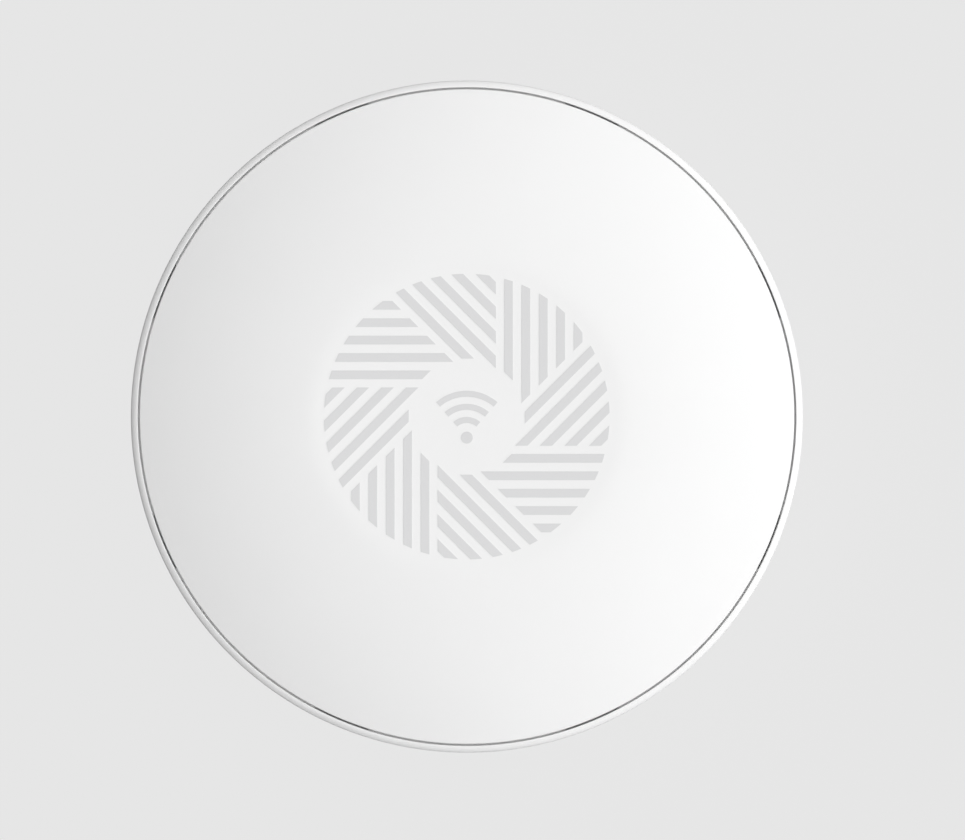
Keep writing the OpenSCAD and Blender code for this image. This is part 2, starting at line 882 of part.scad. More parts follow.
module latch_lever()
    color("darkorange")
        at_latch()
            difference() {
                union() {
                    translate([0, 0, lever_z])
                        linear_extrude(lever_t) {
                            translate(pin_at)
                                circle(r = boss_r);
                            translate(elbow_at)
                                circle(r = lever_w / 2);
                            translate(nose_at)
                                circle(r = nose_r);
                            translate(tail_at)
                                circle(r = 2);
                            translate(pin_at + lever_post)
                                circle(r = 2.2);
                            lever_bar(pin_at, elbow_at, lever_w);
                            lever_bar(elbow_at, nose_at, 2 * nose_r);
                            lever_bar(tail_at, pin_at, 4);
                        }
                    translate([pin_at[0] + lever_post[0], pin_at[1] + lever_post[1],
                        lever_z + lever_t - bite])
                        cylinder(r = post_r, h = 2);
                }
                translate([pin_at[0], pin_at[1], 0])
                    cylinder(r = pin_r + pin_fit, h = recess_z);
            }

module latch_pin()
    color("silver")
        at_latch()
            translate([pin_at[0], pin_at[1], 0]) {
                cylinder(r = pin_r, h = pin_head_z + bite);
                translate([0, 0, pin_head_z])
                    cylinder(r = pin_head_r, h = pin_head_t);
            }

// Points of the torsion spring: a leg, the turns clockwise, and the other leg
function coil_point(turn) = [
    coil_r * cos(90 - 360 * turn),
    coil_r * sin(90 - 360 * turn),
    coil_pitch * turn];
coil_steps = 16;
spring_line = concat(
    [[-leg, coil_r, 0]],
    [for (i = [0:coil_turns * coil_steps]) coil_point(i / coil_steps)],
    [[coil_r, -leg, coil_pitch * coil_turns]]);

module latch_spring()
    color("silver")
        at_latch()
            translate([pin_at[0], pin_at[1], coil_z])
                swept_tube(spring_line, wire_r, 8);

front_cover();
printed_pattern();
printed_icon();
rear_housing();
rating_label();
main_board();
processor_chip();
radio_chips();
memory_chips();
thermal_pads();
heat_sink();
heat_sink_screws();
shield_can_left();
shield_can_right();
shield_can_top();
network_transformer();
power_transformer();
power_inductor();
power_capacitors();
rj45_jack();
rj45_contacts();
status_led();
light_pipe();
board_screws();
antenna(1);  // antenna_1
antenna(2);  // antenna_2
antenna(3);  // antenna_3
antenna(4);  // antenna_4
antenna_cable(1);  // antenna_cable_1
antenna_cable(2);  // antenna_cable_2
antenna_cable(3);  // antenna_cable_3
antenna_cable(4);  // antenna_cable_4
antenna_plugs();
antenna_screws();
reset_switch();
switch_stem();
reset_plunger();
mounting_bracket();
latch_lever();
latch_pin();
latch_spring();
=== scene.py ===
"""Looks of a round ceiling access point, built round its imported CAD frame."""
import json
import math

import bmesh
import bpy
from bpy.props import FloatProperty, FloatVectorProperty, IntProperty, PointerProperty
from mathutils import Matrix, Vector


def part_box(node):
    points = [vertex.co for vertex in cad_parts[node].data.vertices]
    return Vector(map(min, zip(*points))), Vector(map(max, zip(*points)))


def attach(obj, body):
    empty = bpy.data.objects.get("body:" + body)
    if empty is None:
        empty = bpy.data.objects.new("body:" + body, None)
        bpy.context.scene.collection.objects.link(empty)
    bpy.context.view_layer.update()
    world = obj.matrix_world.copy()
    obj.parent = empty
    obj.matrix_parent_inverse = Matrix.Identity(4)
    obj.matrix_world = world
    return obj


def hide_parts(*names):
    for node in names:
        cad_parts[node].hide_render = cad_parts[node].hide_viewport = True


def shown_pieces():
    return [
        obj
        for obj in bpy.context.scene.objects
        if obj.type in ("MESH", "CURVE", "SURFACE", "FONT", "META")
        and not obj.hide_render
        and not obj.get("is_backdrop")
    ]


bl_info = {
    "name": "Ceiling access point",
    "version": (1, 0, 0),
    "blender": (4, 5, 0),
    "location": "View3D > Sidebar > Access point",
    "description": "Builds the shell, print, bracket, electronics and stage of an access point",
    "category": "Object",
}

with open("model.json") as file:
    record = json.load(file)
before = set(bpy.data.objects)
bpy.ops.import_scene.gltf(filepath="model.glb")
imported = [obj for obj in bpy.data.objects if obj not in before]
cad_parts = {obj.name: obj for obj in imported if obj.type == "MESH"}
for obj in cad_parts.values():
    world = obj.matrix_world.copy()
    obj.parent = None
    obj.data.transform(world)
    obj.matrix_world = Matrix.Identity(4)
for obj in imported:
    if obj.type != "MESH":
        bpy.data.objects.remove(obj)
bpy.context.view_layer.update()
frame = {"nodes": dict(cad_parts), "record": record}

MM = 0.001
SHARP = math.radians(30)
# Faces that lean less than this against each other are joined before edges are rounded.
FLAT = math.radians(0.2)
# Vertices nearer than these are one, on a spun piece and on a copy of a CAD node.
SPIN_MERGE = 0.001 * MM
CAD_MERGE = 0.002 * MM
# Straight steps in the curved stretches of the spun outlines.
BEND_STEPS = 6
DOME_STEPS = 40
FILLET_STEPS = 5
CROWN_STEPS = 8
EDGE_STEPS = 4
CLIP_STEPS = 3
# How far a clip's root reaches up beside the skirt, in wall thicknesses.
CLIP_ROOT = 0.6
# How near the rim's faces have to be to its wall and floor to be taken off the housing.
RIM_REACH = 0.02 * MM
FLOOR_R = 30.0
FLOOR_STEPS = 96
CAMERA_REACH = 100.0
UNIT_BODY = "unit"
COVER_LOW, COVER_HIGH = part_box("front_cover")
HOUSING_LOW, HOUSING_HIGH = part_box("rear_housing")


# ---------------------------------------------------------------- settings

def length(name, description, default_mm):
    """A length property, given in millimetres and kept in metres."""
    return FloatProperty(name=name, description=description, default=default_mm * MM,
                         min=0.0, unit="LENGTH", precision=5)


def angle(name, description, degrees):
    """An angle property, given in degrees."""
    return FloatProperty(name=name, description=description, default=math.radians(degrees),
                         subtype="ANGLE")


def colour(name, description, default):
    """A colour property."""
    return FloatVectorProperty(name=name, description=description, default=default, size=3,
                               min=0.0, max=1.0, subtype="COLOR")


def factor(name, description, default):
    """A plain factor."""
    return FloatProperty(name=name, description=description, default=default, min=0.0, max=1.0)


def strength(name, description, default):
    """The strength of a light."""
    return FloatProperty(name=name, description=description, default=default, min=0.0)


def count(name, description, default):
    """A whole number."""
    return IntProperty(name=name, description=description, default=default, min=3)


class CoverSettings(bpy.types.PropertyGroup):
    """Sizes of the domed cover."""

    flat_r: length("Flat radius", "Radius of the flat disc in the middle", 40.0)
    bend_w: length("Bend width", "Width of the soft bend round the flat disc", 4.0)
    dome_start: angle("First slope", "Slope of the dome just outside the bend", 4.0)
    dome_end: angle("Last slope", "Slope of the dome at its edge", 15.0)
    wall: length("Wall", "Thickness of the cover", 2.2)
    edge_round: length("Edge radius", "Radius of the cover's outer edge", 0.35)
    inner_round: length("Inner radius", "Radius where the skirt meets the dome inside", 0.8)
    skirt_h: length("Skirt height", "Height of the skirt below the dome's edge", 2.0)
    clip_t: length("Clip thickness", "Thickness of a snap clip", 1.6)
    clip_gap: length("Clip gap", "Space from the skirt's inside to a clip", 1.25)
    barb_w: length("Barb", "How far a clip's barb reaches out", 1.2)
    barb_h: length("Barb height", "Height of a clip's barb", 1.9)
    barb_drop: length("Barb drop", "Height from the skirt's foot down to the barb's top", 1.8)
    clip_arc: angle("Clip arc", "Arc of a snap clip", 5.0)
    clips: count("Clips", "Number of snap clips", 8)
    steps: count("Steps", "Faces round the cover", 288)


class RimSettings(bpy.types.PropertyGroup):
    """Sizes of the housing's rim, outside the shadow gap."""

    rim_w: length("Rim width", "Width of the rim outside the shadow gap", 1.85)
    crown: length("Crown radius", "Radius of the gentle curve across the rim's top", 2.9)
    shoulder: length("Shoulder radius", "Radius of the tighter curve down to the side", 0.95)
    slope: angle("Rim slope", "Slope of the rim's top, which carries on the dome's line", 10.0)
    crown_end: angle("Shoulder slope", "Slope where the shoulder starts", 40.0)
    gap_depth: length("Gap depth", "Depth of the shadow gap", 2.0)
    edge: length("Edge radius", "Radius of the rim's edge at the shadow gap", 0.12)
    root: length("Root", "How far the rim's root is sunk into the housing", 0.4)
    steps: count("Steps", "Faces round the rim", 288)


class FinishSettings(bpy.types.PropertyGroup):
    """Colours and textures of the visible finishes."""

    shell: colour("Shell colour", "Moulded white of the cover and the housing", (0.80, 0.80, 0.80))
    ink: colour("Ink colour", "Grey of the printed stripes and icon", (0.64, 0.64, 0.645))
    shell_rough: factor("Shell roughness", "Roughness of the moulded white", 0.5)
    grain: length("Grain", "Size of the moulded texture's grain", 0.35)
    grain_depth: length("Grain depth", "Depth of the moulded texture", 0.006)
    edge: length("Edge radius", "Radius of the latch lever's and the jack's moulded edges", 0.15)
    sheet_edge: length("Sheet edge radius", "Radius of the bracket's stamped edges", 0.12)


class StageSettings(bpy.types.PropertyGroup):
    """Floor, light and camera."""

    floor: colour("Floor colour", "Colour that the floor shows", (0.791, 0.791, 0.791))
    # The contact colour is painted shadow: the floor's own light darkens towards it under the
    # body's edge.
    painted_contact_shadow: colour("Contact colour", "Colour of the floor right under the body's edge",
                    (0.36, 0.36, 0.36))
    painted_shadow_reach: length("Contact reach", "How near a body darkens the floor", 9.0)
    floor_diffuse: factor("Floor shading", "How much of the floor's light follows the studio", 0.12)
    floor_bounce: factor("Floor bounce", "How much light the floor throws back on the object", 0.4)
    key: strength("Key", "Strength of the soft key light", 3.45)
    key_soft: angle("Key size", "Angle that the key light fills", 100.0)
    key_height: angle("Key height", "Height of the key light above the floor", 45.0)
    key_turn: angle("Key turn", "Turn of the key light from the right towards the top", 5.0)
    sky_low: strength("Low sky", "Strength of the light from the sides", 0.18)
    sky_high: strength("High sky", "Strength of the light from above", 0.36)
    lens: FloatProperty(name="Lens", description="Focal length", default=300.0, unit="CAMERA")
    view_w: length("View width", "Width of the view at the height of the rim", 258.3)
    view_x: length("View right", "How far the view's middle is right of the axis", 4.18)
    view_y: length("View down", "How far the view's middle is below the axis", 0.91)


# ---------------------------------------------------------------- mesh work

def finish_piece(bm, name, body, replaced):
    """Makes a mesh object of a bmesh, smooth but for its sharp edges, and rides it on a body."""
    for face in bm.faces:
        face.smooth = True
    for edge in bm.edges:
        edge.smooth = edge.calc_face_angle(0.0) < SHARP
    mesh = bpy.data.meshes.new(name)
    bm.to_mesh(mesh)
    bm.free()
    # The normals that a CAD node brings along don't fit its merged mesh.
    brought = mesh.attributes.get("custom_normal")
    if brought:
        mesh.attributes.remove(brought)
    piece = bpy.data.objects.new(name, mesh)
    bpy.context.scene.collection.objects.link(piece)
    weighted = piece.modifiers.new("weighted_normals", "WEIGHTED_NORMAL")
    weighted.keep_sharp = True
    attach(piece, body)
    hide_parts(*replaced)
    return piece


def outline_verts(bm, outline):
    """Vertices of an outline given as (radius, height) pairs, in the half plane y = 0."""
    return [bm.verts.new((r, 0.0, z)) for r, z in outline]


def spin(bm, verts, edges, turn, steps):
    """Turns an outline about the axis, and joins its ends after a full turn."""
    bmesh.ops.spin(bm, geom=verts + edges, cent=(0, 0, 0), axis=(0, 0, 1), angle=turn,
                   steps=steps, use_merge=turn == math.tau, use_normal_flip=False,
                   use_duplicate=False)


def spin_ring(bm, outline, steps):
    """Turns a closed outline through a full turn."""
    verts = outline_verts(bm, outline)
    edges = [bm.edges.new(pair) for pair in zip(verts, verts[1:] + verts[:1])]
    spin(bm, verts, edges, math.tau, steps)


def spin_open(bm, outline, steps):
    """Turns an open outline that starts and ends on the axis through a full turn."""
    verts = outline_verts(bm, outline)
    edges = [bm.edges.new(pair) for pair in zip(verts, verts[1:])]
    spin(bm, verts, edges, math.tau, steps)
    bmesh.ops.remove_doubles(bm, verts=bm.verts, dist=SPIN_MERGE)


def spin_sector(bm, outline, middle, arc):
    """Turns a closed outline through a short arc about the axis and closes both ends."""
    verts = outline_verts(bm, outline)
    edges = [bm.edges.new(pair) for pair in zip(verts, verts[1:] + verts[:1])]
    bmesh.ops.rotate(bm, verts=verts, cent=(0, 0, 0),
                     matrix=Matrix.Rotation(middle - arc / 2, 3, "Z"))
    before = set(bm.edges) - set(edges)
    spin(bm, verts, edges, arc, CLIP_STEPS)
    fresh = [e for e in bm.edges if e not in before and e.is_boundary]
    bmesh.ops.holes_fill(bm, edges=fresh, sides=0)


def arc_points(centre, radius, first, last, steps):
    """Points of an arc in the half plane, from one angle to another, 0 along the radius."""
    return [(centre[0] + radius * math.cos(a), centre[1] + radius * math.sin(a))
            for a in (first + (last - first) * i / steps for i in range(steps + 1))]


def rounded_copy(node, name, width):
    """A copy of a CAD node with every sharp edge rounded to a width, standing for the node."""
    source = frame["nodes"][node]
    bm = bmesh.new()
    bm.from_mesh(source.data)
    bmesh.ops.remove_doubles(bm, verts=bm.verts, dist=CAD_MERGE)
    bmesh.ops.dissolve_limit(bm, verts=bm.verts, edges=bm.edges, angle_limit=FLAT)
    edges = [e for e in bm.edges if e.is_manifold and e.calc_face_angle() > SHARP]
    bmesh.ops.bevel(bm, geom=edges, offset=width, offset_type="OFFSET", segments=2, profile=0.5,
                    affect="EDGES", clamp_overlap=True, material=-1)
    body = next(b for b, nodes in frame["record"]["behaviour"]["bodies"].items() if node in nodes)
    return finish_piece(bm, name, body, [node])


# ---------------------------------------------------------------- finishes

class Finish:
    """A node material that is put together step by step."""

    def __init__(self, name, base, roughness, metallic=0.0):
        self.material = bpy.data.materials.new(name)
        self.material.use_nodes = True
        self.material.diffuse_color = (*base, 1.0)
        self.tree = self.material.node_tree
        self.shader = self.tree.nodes["Principled BSDF"]
        self.base = base
        self.roughness = roughness
        self.shader.inputs["Base Color"].default_value = (*base, 1.0)
        self.shader.inputs["Roughness"].default_value = roughness
        self.shader.inputs["Metallic"].default_value = metallic
        self.place = self.tree.nodes.new("ShaderNodeTexCoord").outputs["Object"]
        self.height = None

    def node(self, kind, **inputs):
        """Adds a node. A socket is linked, a number or colour is set; _ stands for a space."""
        made = self.tree.nodes.new(kind)
        for key, value in inputs.items():
            socket = made.inputs[key.replace("_", " ")]
            if isinstance(value, bpy.types.NodeSocket):
                self.tree.links.new(value, socket)
            else:
                socket.default_value = value
        return made

    def stretched(self, scale):
        """The place on the piece, scaled by axis."""
        return self.node("ShaderNodeMapping", Vector=self.place, Scale=scale).outputs["Vector"]

    def noise(self, grain, detail=3.0, place=None):
        """Even noise with a grain size in metres."""
        return self.node("ShaderNodeTexNoise", Vector=place or self.place, Scale=1.0 / grain,
                         Detail=detail, Roughness=0.55).outputs["Fac"]

    def spread(self, value, low, high):
        """Maps a value from 0..1 to low..high."""
        return self.node("ShaderNodeMapRange", Value=value, From_Min=0.25, From_Max=0.75,
                         To_Min=low, To_Max=high).outputs["Result"]

    def mixed(self, value, first, second):
        """Colour between two colours by a value."""
        mix = self.tree.nodes.new("ShaderNodeMix")
        mix.data_type = "RGBA"
        self.tree.links.new(value, mix.inputs["Factor"])
        for key, tint in (("A", first), ("B", second)):
            socket = next(s for s in mix.inputs if s.name == key and s.type == "RGBA")
            if isinstance(tint, bpy.types.NodeSocket):
                self.tree.links.new(tint, socket)
            else:
                socket.default_value = (*tint, 1.0)
        return next(s for s in mix.outputs if s.type == "RGBA")

    def tint(self, value, amount):
        """Varies the base colour by a value, by an amount either way."""
        low = [max(0.0, c * (1 - amount)) for c in self.base]
        high = [min(1.0, c * (1 + amount)) for c in self.base]
        self.paint(self.mixed(value, low, high))

    def paint(self, socket):
        """Sends a colour to the shader."""
        self.tree.links.new(socket, self.shader.inputs["Base Color"])

    def vary_roughness(self, value, amount):
        """Varies the roughness by a value, by an amount either way."""
        self.tree.links.new(self.spread(value, self.roughness - amount, self.roughness + amount),
                            self.shader.inputs["Roughness"])

    def raise_by(self, value, depth):
        """Adds a relief of a depth in metres, on top of any relief added before."""
        bump = self.node("ShaderNodeBump", Height=value, Distance=depth, Strength=1.0)
        if self.height is not None:
            self.tree.links.new(self.height, bump.inputs["Normal"])
        self.height = bump.outputs["Normal"]
        self.tree.links.new(self.height, self.shader.inputs["Normal"])


def moulded(name, base, roughness, grain, depth, variation=0.01):
    """Moulded plastic: a fine spark-eroded grain, and slow changes of colour and gloss."""
    made = Finish(name, base, roughness)
    made.tint(made.noise(28 * MM, 2.0), variation)
    made.vary_roughness(made.noise(6 * MM), 0.04)
    made.raise_by(made.noise(grain, 2.0), depth)
    made.raise_by(made.noise(grain * 6, 2.0), depth * 0.6)
    return made


def printed_ink(name, base):
    """Screen-printed ink: thin, matt, with faint pinholes in the coat."""
    made = Finish(name, base, 0.55)
    made.tint(made.noise(0.25 * MM, 4.0), 0.02)
    made.vary_roughness(made.noise(1.5 * MM), 0.05)
    made.raise_by(made.noise(0.2 * MM, 2.0), 0.002 * MM)
    return made


def plated(name, base, roughness, grain=(1.0, 1.0, 1.0), metallic=1.0, relief=0.004 * MM):
    """Plated or tinned metal with a drawn grain along the axis that is scaled least."""
    made = Finish(name, base, roughness, metallic)
    lines = made.noise(0.4 * MM, 4.0, made.stretched(grain))
    made.tint(made.noise(5 * MM), 0.06)
    made.vary_roughness(lines, 0.08)
    made.raise_by(lines, relief)
    return made


def laminate(name, base):
    """Solder-masked board: raised copper tracks under the mask and small gold vias."""
    made = Finish(name, base, 0.32)
    weave = made.node("ShaderNodeTexBrick", Vector=made.stretched((180.0, 180.0, 180.0)),
                      Mortar_Size=0.09, Mortar_Smooth=0.2, Brick_Width=0.9, Row_Height=0.25)
    tracks = made.node("ShaderNodeMath", Value=weave.outputs["Fac"])
    tracks.operation = "MULTIPLY"
    made.tree.links.new(made.spread(made.noise(9 * MM), 0.0, 1.0), tracks.inputs[1])
    dots = made.node("ShaderNodeTexVoronoi", Vector=made.place, Scale=260.0)
    via = made.node("ShaderNodeMapRange", Value=dots.outputs["Distance"], From_Min=0.10,
                    From_Max=0.14, To_Min=1.0, To_Max=0.0).outputs["Result"]
    copper = made.mixed(tracks.outputs[0], made.base, [c * 2.1 for c in made.base])
    made.paint(made.mixed(via, copper, (0.62, 0.47, 0.18)))
    made.raise_by(tracks.outputs[0], 0.03 * MM)
    return made


def epoxy(name, base):
    """Moulded chip body: dull black with a coarse, slightly streaked skin."""
    made = Finish(name, base, 0.6)
    made.tint(made.noise(3 * MM, 4.0), 0.25)
    made.vary_roughness(made.noise(1 * MM), 0.1)
    made.raise_by(made.noise(0.12 * MM, 4.0), 0.006 * MM)
    return made


def soft_pad(name, base):
    """Silicone pad: dusty, with a dimpled skin."""
    made = Finish(name, base, 0.8)
    made.tint(made.noise(2 * MM, 4.0), 0.1)
    dimples = made.node("ShaderNodeTexVoronoi", Vector=made.place, Scale=1200.0)
    made.raise_by(dimples.outputs["Distance"], 0.03 * MM)
    return made


def clear_acrylic(name, base):
    """Polished clear acrylic with faint flow lines."""
    made = Finish(name, base, 0.06)
    made.shader.inputs["Transmission Weight"].default_value = 1.0
    made.shader.inputs["IOR"].default_value = 1.49
    made.raise_by(made.noise(3 * MM, 2.0, made.stretched((1.0, 1.0, 0.2))), 0.004 * MM)
    return made


def label_stock(name, base):
    """Matt label film with paper-like fibres."""
    made = Finish(name, base, 0.65)
    made.tint(made.noise(0.3 * MM, 5.0, made.stretched((1.0, 4.0, 1.0))), 0.02)
    made.raise_by(made.noise(0.15 * MM, 3.0), 0.002 * MM)
    return made


def dress(finish, *nodes):
    """Gives CAD nodes a finish in every material slot."""
    for node in nodes:
        slots = frame["nodes"][node].data.materials
        if not slots:
            slots.append(finish.material)
        for i in range(len(slots)):
            slots[i] = finish.material


def coat(piece, finish):
    """Gives a new piece its finish."""
    piece.data.materials.clear()
    piece.data.materials.append(finish.material)


# ---------------------------------------------------------------- operators

class ACCESSPOINT_OT_cover(bpy.types.Operator):
    """Spins the domed cover with its skirt and adds the snap clips."""

    bl_idname = "access_point.cover"
    bl_label = "Domed cover"

    def execute(self, context):
        sizes = context.scene.access_point_cover
        look = context.scene.access_point_finish
        edge_r = COVER_HIGH.x
        top = COVER_HIGH.z
        bend_r = sizes.bend_w / math.sin(sizes.dome_start)
        bend_mid = Vector((sizes.flat_r, top - bend_r))
        bend_end = Vector((sizes.flat_r + sizes.bend_w,
                           top - bend_r * (1 - math.cos(sizes.dome_start))))
        dome_r = (edge_r - bend_end.x) / (math.sin(sizes.dome_end) - math.sin(sizes.dome_start))
        lean = Vector((math.sin(sizes.dome_start), math.cos(sizes.dome_start)))
        dome_mid = bend_end - dome_r * lean
        outside = self.dome(bend_mid, bend_r, dome_mid, dome_r, sizes, 0.0,
                            edge_r - sizes.edge_round)
        edge = self.fillet(dome_mid, dome_r, edge_r, sizes.edge_round)
        inner_r = edge_r - sizes.wall
        inside = self.dome(bend_mid, bend_r, dome_mid, dome_r, sizes, sizes.wall,
                           inner_r - sizes.inner_round)
        rim_z = dome_mid.y + dome_r * math.cos(sizes.dome_end)
        foot = rim_z - sizes.skirt_h
        skirt = [(edge_r, foot), (inner_r, foot), (inner_r, inside[-1][1] - sizes.inner_round)]
        outline = ([(0.0, top)] + outside + edge + skirt + inside[::-1]
                   + [(0.0, top - sizes.wall)])
        bm = bmesh.new()
        spin_open(bm, outline, sizes.steps)
        clip_out = inner_r - sizes.clip_gap
        barb_top = foot - sizes.barb_drop
        clip = [
            (clip_out - sizes.clip_t, COVER_LOW.z),
            (clip_out, COVER_LOW.z),
            (clip_out, barb_top - sizes.barb_h),
            (clip_out + sizes.barb_w, barb_top),
            (clip_out, barb_top),
            (clip_out, foot + sizes.wall * CLIP_ROOT),
            (clip_out - sizes.clip_t, foot + sizes.wall * CLIP_ROOT)]
        for i in range(sizes.clips):
            spin_sector(bm, clip, math.tau * i / sizes.clips, sizes.clip_arc)
        bmesh.ops.recalc_face_normals(bm, faces=bm.faces)
        piece = finish_piece(bm, "cover_shell", UNIT_BODY, ["front_cover"])
        coat(piece, moulded("cover_white", look.shell, look.shell_rough, look.grain,
                            look.grain_depth))
        return {"FINISHED"}

    @staticmethod
    def dome(bend_mid, bend_r, dome_mid, dome_r, sizes, depth, end_r):
        """Points of the dome from the flat disc outwards, drawn in by a depth, up to a radius."""
        up = math.pi / 2
        last = math.asin((end_r - dome_mid.x) / (dome_r - depth))
        bend = arc_points(bend_mid, bend_r - depth, up, up - sizes.dome_start, BEND_STEPS)
        dome = arc_points(dome_mid, dome_r - depth, up - sizes.dome_start, up - last, DOME_STEPS)
        return bend + dome[1:]

    @staticmethod
    def fillet(dome_mid, dome_r, edge_r, radius):
        """Small arc from the dome to the cover's upright edge, touching both."""
        reach = dome_r - radius
        mid = Vector((edge_r - radius, 0.0))
        slope = math.asin((mid.x - dome_mid.x) / reach)
        mid.y = dome_mid.y + reach * math.cos(slope)
        return arc_points(mid, radius, math.pi / 2 - slope, 0.0, FILLET_STEPS)


class ACCESSPOINT_OT_housing(bpy.types.Operator):
    """Spins the housing's rim, sets it on the housing's body and gives both their finish."""

    bl_idname = "access_point.housing"
    bl_label = "Rear housing"

    def execute(self, context):
        sizes = context.scene.access_point_rim
        look = context.scene.access_point_finish
        white = moulded("housing_white", look.shell, look.shell_rough + 0.02, look.grain,
                        look.grain_depth)
        coat(self.rim(sizes), white)
        coat(self.body(sizes), white)
        dress(label_stock("label_white", (0.85, 0.85, 0.85)), "rating_label")
        return {"FINISHED"}

    @staticmethod
    def rim(sizes):
        """The rim: a curved top, a tighter shoulder, a rounded edge and the shadow gap's wall."""
        top = HOUSING_HIGH.z
        rim_in = HOUSING_HIGH.x - sizes.rim_w
        lean = Vector((math.sin(sizes.slope), math.cos(sizes.slope)))
        steep = Vector((math.sin(sizes.crown_end), math.cos(sizes.crown_end)))
        start_r = (HOUSING_HIGH.x - sizes.crown * (steep.x - lean.x)
                   - sizes.shoulder * (1 - steep.x))
        start = Vector((start_r, top - (start_r - rim_in) * math.tan(sizes.slope)))
        crown_mid = start - sizes.crown * lean
        shoulder_mid = crown_mid + (sizes.crown - sizes.shoulder) * steep
        edge_z = top - sizes.edge * (1 + lean.x) * math.tan(sizes.slope) - sizes.edge * lean.y
        up = math.pi / 2
        outline = (arc_points(shoulder_mid, sizes.shoulder, 0.0, up - sizes.crown_end, CROWN_STEPS)
                   + arc_points(crown_mid, sizes.crown, up - sizes.crown_end, up - sizes.slope,
                                CROWN_STEPS)[1:]
                   + arc_points((rim_in + sizes.edge, edge_z), sizes.edge, up - sizes.slope,
                                math.pi, EDGE_STEPS)
                   + [(rim_in, top - sizes.gap_depth),
                      (rim_in + sizes.root, top - sizes.gap_depth - sizes.root),
                      (HOUSING_HIGH.x - sizes.root, shoulder_mid.y - sizes.root)])
        bm = bmesh.new()
        spin_ring(bm, outline, sizes.steps)
        bmesh.ops.recalc_face_normals(bm, faces=bm.faces)
        return finish_piece(bm, "housing_rim", UNIT_BODY, ["rear_housing"])

    @staticmethod
    def body(sizes):
        """The housing without its rim, closed where the rim stood."""
        low = HOUSING_HIGH.z - sizes.gap_depth - RIM_REACH
        rim_in = HOUSING_HIGH.x - sizes.rim_w - RIM_REACH
        bm = bmesh.new()
        bm.from_mesh(frame["nodes"]["rear_housing"].data)
        bmesh.ops.remove_doubles(bm, verts=bm.verts, dist=CAD_MERGE)
        rim_faces = [f for f in bm.faces
                     if all(v.co.z > low and v.co.xy.length > rim_in for v in f.verts)]
        bmesh.ops.delete(bm, geom=rim_faces, context="FACES")
        bmesh.ops.bridge_loops(bm, edges=[e for e in bm.edges if e.is_boundary])
        bmesh.ops.recalc_face_normals(bm, faces=bm.faces)
        return finish_piece(bm, "housing_body", UNIT_BODY, ["rear_housing"])


class ACCESSPOINT_OT_print(bpy.types.Operator):
    """Gives the printed stripes and the wireless icon their ink."""

    bl_idname = "access_point.print"
    bl_label = "Printed pattern"

    def execute(self, context):
        look = context.scene.access_point_finish
        dress(printed_ink("print_grey", look.ink), "printed_pattern", "printed_icon")
        return {"FINISHED"}


class ACCESSPOINT_OT_bracket(bpy.types.Operator):
    """Rounds the edges of the bracket and the latch lever and finishes the pin and the spring."""

    bl_idname = "access_point.bracket"
    bl_label = "Mounting bracket"

    def execute(self, context):
        look = context.scene.access_point_finish
        plate = rounded_copy("mounting_bracket", "bracket_plate", look.sheet_edge)
        coat(plate, plated("bracket_zinc", (0.72, 0.73, 0.74), 0.42, (1.0, 1.6, 1.0), 0.5,
                           0.0008 * MM))
        lever = rounded_copy("latch_lever", "latch_lever_arm", look.edge)
        coat(lever, moulded("lever_orange", (0.80, 0.25, 0.04), 0.45, look.grain, look.grain_depth))
        dress(plated("pin_steel", (0.62, 0.62, 0.64), 0.3, (1.0, 1.0, 6.0)), "latch_pin")
        dress(plated("spring_wire", (0.55, 0.56, 0.58), 0.25), "latch_spring")
        return {"FINISHED"}


class ACCESSPOINT_OT_electronics(bpy.types.Operator):
    """Finishes the board, everything on it, the heat sink and the network jack."""

    bl_idname = "access_point.electronics"
    bl_label = "Electronics"

    def execute(self, context):
        look = context.scene.access_point_finish
        jack = rounded_copy("rj45_jack", "jack_body", look.edge)
        black = moulded("jack_black", (0.02, 0.02, 0.021), 0.45, look.grain, look.grain_depth, 0.1)
        coat(jack, black)
        dress(black, "reset_switch")
        dress(laminate("board_green", (0.015, 0.12, 0.05)), "main_board")
        dress(epoxy("chip_black", (0.03, 0.03, 0.033)), "processor_chip", "radio_chips",
              "memory_chips", "network_transformer", "power_transformer", "power_inductor")
        dress(soft_pad("pad_blue", (0.40, 0.58, 0.70)), "thermal_pads")
        dress(plated("sink_grey", (0.70, 0.71, 0.73), 0.38, (8.0, 1.0, 8.0)), "heat_sink")
        dress(plated("can_tin", (0.72, 0.72, 0.70), 0.3), "shield_can_left", "shield_can_right",
              "shield_can_top")
        dress(plated("screw_zinc", (0.62, 0.63, 0.65), 0.33), "board_screws", "heat_sink_screws")
        dress(moulded("sleeve_blue", (0.02, 0.03, 0.10), 0.3, 0.6 * MM, 0.004 * MM, 0.08),
              "power_capacitors")
        dress(plated("contact_gold", (0.83, 0.60, 0.22), 0.22), "rj45_contacts", "antenna_plugs")
        dress(moulded("led_white", (0.88, 0.87, 0.80), 0.3, 0.4 * MM, 0.002 * MM), "status_led")
        dress(clear_acrylic("pipe_clear", (0.95, 0.97, 0.98)), "light_pipe")
        dress(moulded("plunger_grey", (0.10, 0.10, 0.105), 0.5, look.grain, look.grain_depth, 0.05),
              "reset_plunger")
        dress(moulded("stem_tan", (0.50, 0.38, 0.20), 0.5, look.grain, look.grain_depth, 0.05),
              "switch_stem")
        return {"FINISHED"}


